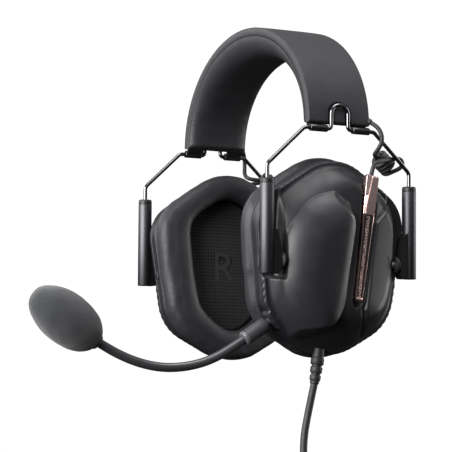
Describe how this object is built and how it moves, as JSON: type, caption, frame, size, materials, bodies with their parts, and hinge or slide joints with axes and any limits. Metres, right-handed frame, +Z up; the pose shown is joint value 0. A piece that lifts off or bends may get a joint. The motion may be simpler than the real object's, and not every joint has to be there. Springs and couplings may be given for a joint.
{
  "type": "gaming headset",
  "caption": "Over-ear gaming headset: padded headband, wire yokes, sliding leatherette cups, boom microphone, coiled link cords and a cord to a jack plug.",
  "frame": {"origin": "underside of the headband pad at the crown, where the pad rests on the head", "axes": "+X to the wearer's left, -Y forwards, +Z up"},
  "size_m": [0.1728, 0.2123, 0.3436],
  "materials": {
    "leatherette": "fine grained leatherette",
    "spring_steel": "blued strip",
    "cord": "matt cord sheath",
    "steel": "satin",
    "black_metal": "gloss black",
    "dark_steel": "polished dark steel",
    "sleeve_metal": "satin grey",
    "black_plastic": "matt",
    "nylon": "natural",
    "black_rubber": "matt",
    "shell": "soft touch charcoal",
    "driver_metal": "plated",
    "cloth": "open weave",
    "rose_gold": "bright anodised",
    "mesh": "perforated",
    "jack_metal": "gold plated",
    "boom_plastic": "satin",
    "goose_black": "glossy sheath",
    "foam": "open cell foam"
  },
  "bodies": {
    "headband": {"headband_cover": "leatherette", "headband_pad": "leatherette", "headband_spring": "spring_steel", "headband_wire": "cord", "clip_rivets": "steel", "band_glands": "cord", "left_hinge_clip": "black_metal", "right_hinge_clip": "black_metal", "left_link_upper": "cord", "right_link_upper": "cord"},
    "left_yoke": {"left_yoke_wire": "dark_steel", "left_link_coil": "cord"},
    "left_slider": {"left_front_sleeve": "sleeve_metal", "left_rear_sleeve": "sleeve_metal", "left_sleeve_caps": "black_plastic", "left_friction_bushes": "nylon", "left_pivot_brackets": "sleeve_metal", "left_pivot_pins": "steel", "left_pivot_washers": "black_rubber", "left_link_lower": "cord"},
    "left_cup": {"left_outer_shell": "shell", "left_mid_housing": "shell", "left_driver_baffle": "black_plastic", "left_driver": "driver_metal", "left_ear_cushion": "leatherette", "left_speaker_cloth": "cloth", "left_accent_bar": "rose_gold", "left_accent_mesh": "mesh", "left_housing_screws": "steel", "boom_pin": "steel", "strain_relief": "cord", "main_cable": "cord", "cable_coil": "cord", "cable_tie": "black_rubber", "cable_plug": "black_plastic", "plug_jack": "jack_metal"},
    "right_yoke": {"right_yoke_wire": "dark_steel", "right_link_coil": "cord"},
    "right_slider": {"right_front_sleeve": "sleeve_metal", "right_rear_sleeve": "sleeve_metal", "right_sleeve_caps": "black_plastic", "right_friction_bushes": "nylon", "right_pivot_brackets": "sleeve_metal", "right_pivot_pins": "steel", "right_pivot_washers": "black_rubber", "right_link_lower": "cord"},
    "right_cup": {"right_outer_shell": "shell", "right_mid_housing": "shell", "right_driver_baffle": "black_plastic", "right_driver": "driver_metal", "right_ear_cushion": "leatherette", "right_speaker_cloth": "cloth", "right_accent_bar": "rose_gold", "right_accent_mesh": "mesh", "right_housing_screws": "steel"},
    "boom": {"boom_knuckle": "boom_plastic", "boom_holder": "boom_plastic", "gooseneck": "goose_black", "mic_capsule": "driver_metal", "foam_windscreen": "foam"}
  },
  "joints": [
    {"name": "left_yoke_hinge", "type": "hinge", "parent": "headband", "child": "left_yoke", "pos_m": [0.07114, 0, -0.0476], "axis": [0, 1, 0], "range_deg": [0, 14]},
    {"name": "left_slide", "type": "slide", "parent": "left_yoke", "child": "left_slider", "axis": [0, 0, -1], "range_m": [0, 0.028], "deforming": ["left_link_coil"]},
    {"name": "left_cup_pivot", "type": "hinge", "parent": "left_slider", "child": "left_cup", "pos_m": [0.07114, 0, -0.1186], "axis": [0, 1, 0], "range_deg": [-6, 3]},
    {"name": "right_yoke_hinge", "type": "hinge", "parent": "headband", "child": "right_yoke", "pos_m": [-0.07114, 0, -0.0476], "axis": [0, -1, 0], "range_deg": [0, 14]},
    {"name": "right_slide", "type": "slide", "parent": "right_yoke", "child": "right_slider", "axis": [0, 0, -1], "range_m": [0, 0.028], "deforming": ["right_link_coil"]},
    {"name": "right_cup_pivot", "type": "hinge", "parent": "right_slider", "child": "right_cup", "pos_m": [-0.07114, 0, -0.1186], "axis": [0, -1, 0], "range_deg": [-6, 3]},
    {"name": "boom_pivot", "type": "hinge", "parent": "left_cup", "child": "boom", "pos_m": [0.05746, -0.0305, -0.14732], "axis": [-0.9976, 0, 0.0698], "range_deg": [-5, 40]}
  ]
}
